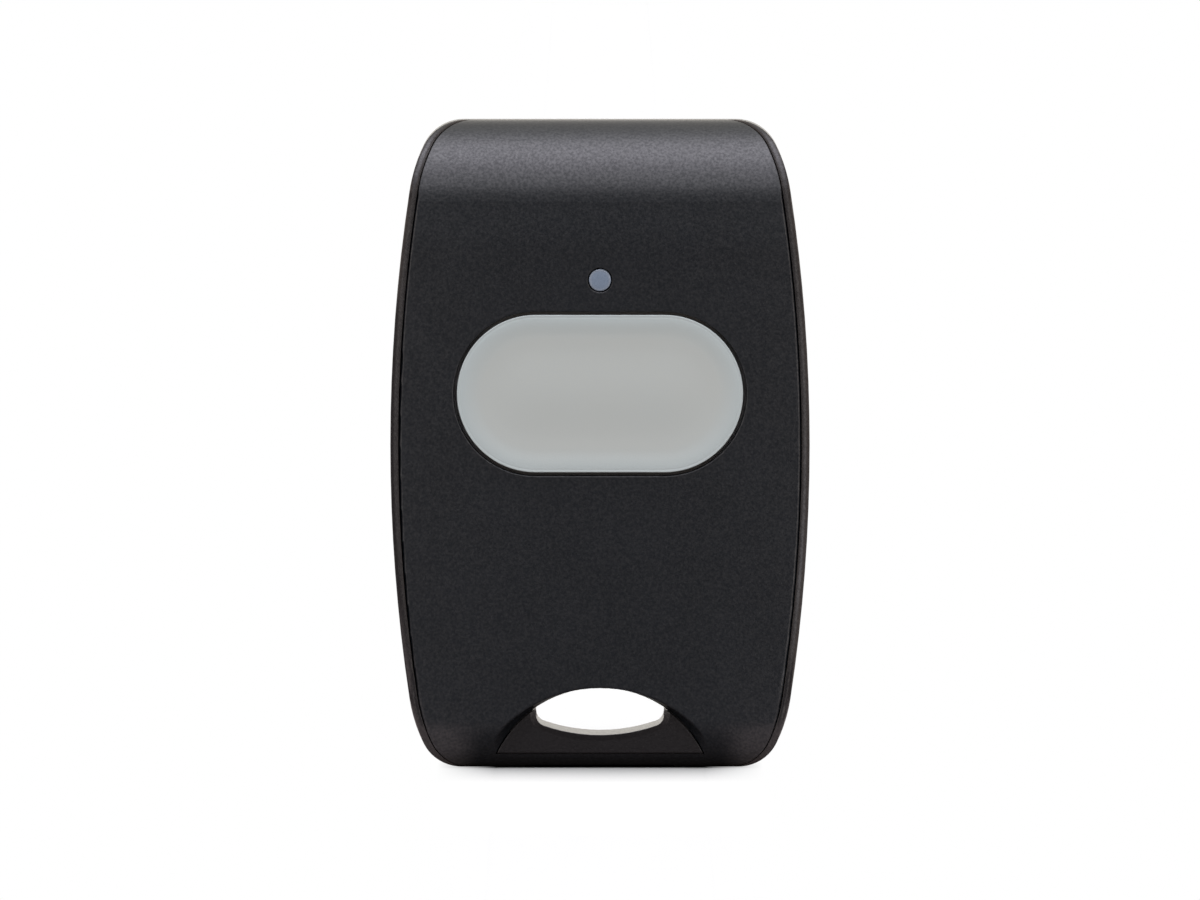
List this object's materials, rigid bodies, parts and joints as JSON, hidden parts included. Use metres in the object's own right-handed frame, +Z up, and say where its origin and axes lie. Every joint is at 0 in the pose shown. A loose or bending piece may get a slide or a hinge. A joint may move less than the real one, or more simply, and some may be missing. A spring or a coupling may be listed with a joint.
{
  "type": "medical alert pendant",
  "caption": "Worn alarm transmitter: curved black case with a large stadium push button, a small status light above it and an arched cord slot at the foot.",
  "frame": {"origin": "middle of the case's footprint, on the plane it stands on, halfway through the depth from button crest to back face", "axes": "+Z up along the case, +X to the right seen from the button side, the button faces -Y"},
  "size_m": [0.036, 0.012, 0.0556],
  "materials": {
    "case_plastic": "satin, fine spark-eroded grain",
    "button_plastic": "satin",
    "lens": "clear, grey-blue",
    "silicone": "matt",
    "board": "green solder mask",
    "chip_black": "moulded",
    "switch_white": "moulded",
    "ceramic": "ceramic",
    "steel": "nickel plated",
    "bright_steel": "polished",
    "contact_brass": "gold flashed",
    "holder_plastic": "moulded",
    "led_plastic": "clear"
  },
  "bodies": {
    "case": {"front_cover": "case_plastic", "rear_cover": "case_plastic", "button_membrane": "silicone", "status_light_pipe": "lens", "circuit_board": "board", "switch_body": "switch_white", "status_led": "led_plastic", "radio_chip": "chip_black", "microcontroller": "chip_black", "crystal": "bright_steel", "chip_capacitors": "ceramic", "chip_resistors": "chip_black", "matching_coils": "ceramic", "antenna": "contact_brass", "coin_cell": "bright_steel", "battery_holder": "holder_plastic", "battery_positive_clip": "steel", "battery_negative_contact": "steel", "case_screws": "steel"},
    "button": {"alarm_button": "button_plastic"},
    "plunger": {"switch_plunger": "chip_black"}
  },
  "joints": [
    {"name": "button_press", "type": "slide", "parent": "case", "child": "button", "axis": [0, 1, 0], "range_m": [0, 0.0003], "stiffness_N_per_m": 600, "springref_m": -0.0015, "deforming": ["button_membrane"]},
    {"name": "switch_press", "type": "slide", "parent": "case", "child": "plunger", "axis": [0, 1, 0], "range_m": [0, 0.0003]}
  ],
  "couplings": [
    {"joint": "switch_press", "follows": "button_press", "ratio": 1}
  ]
}
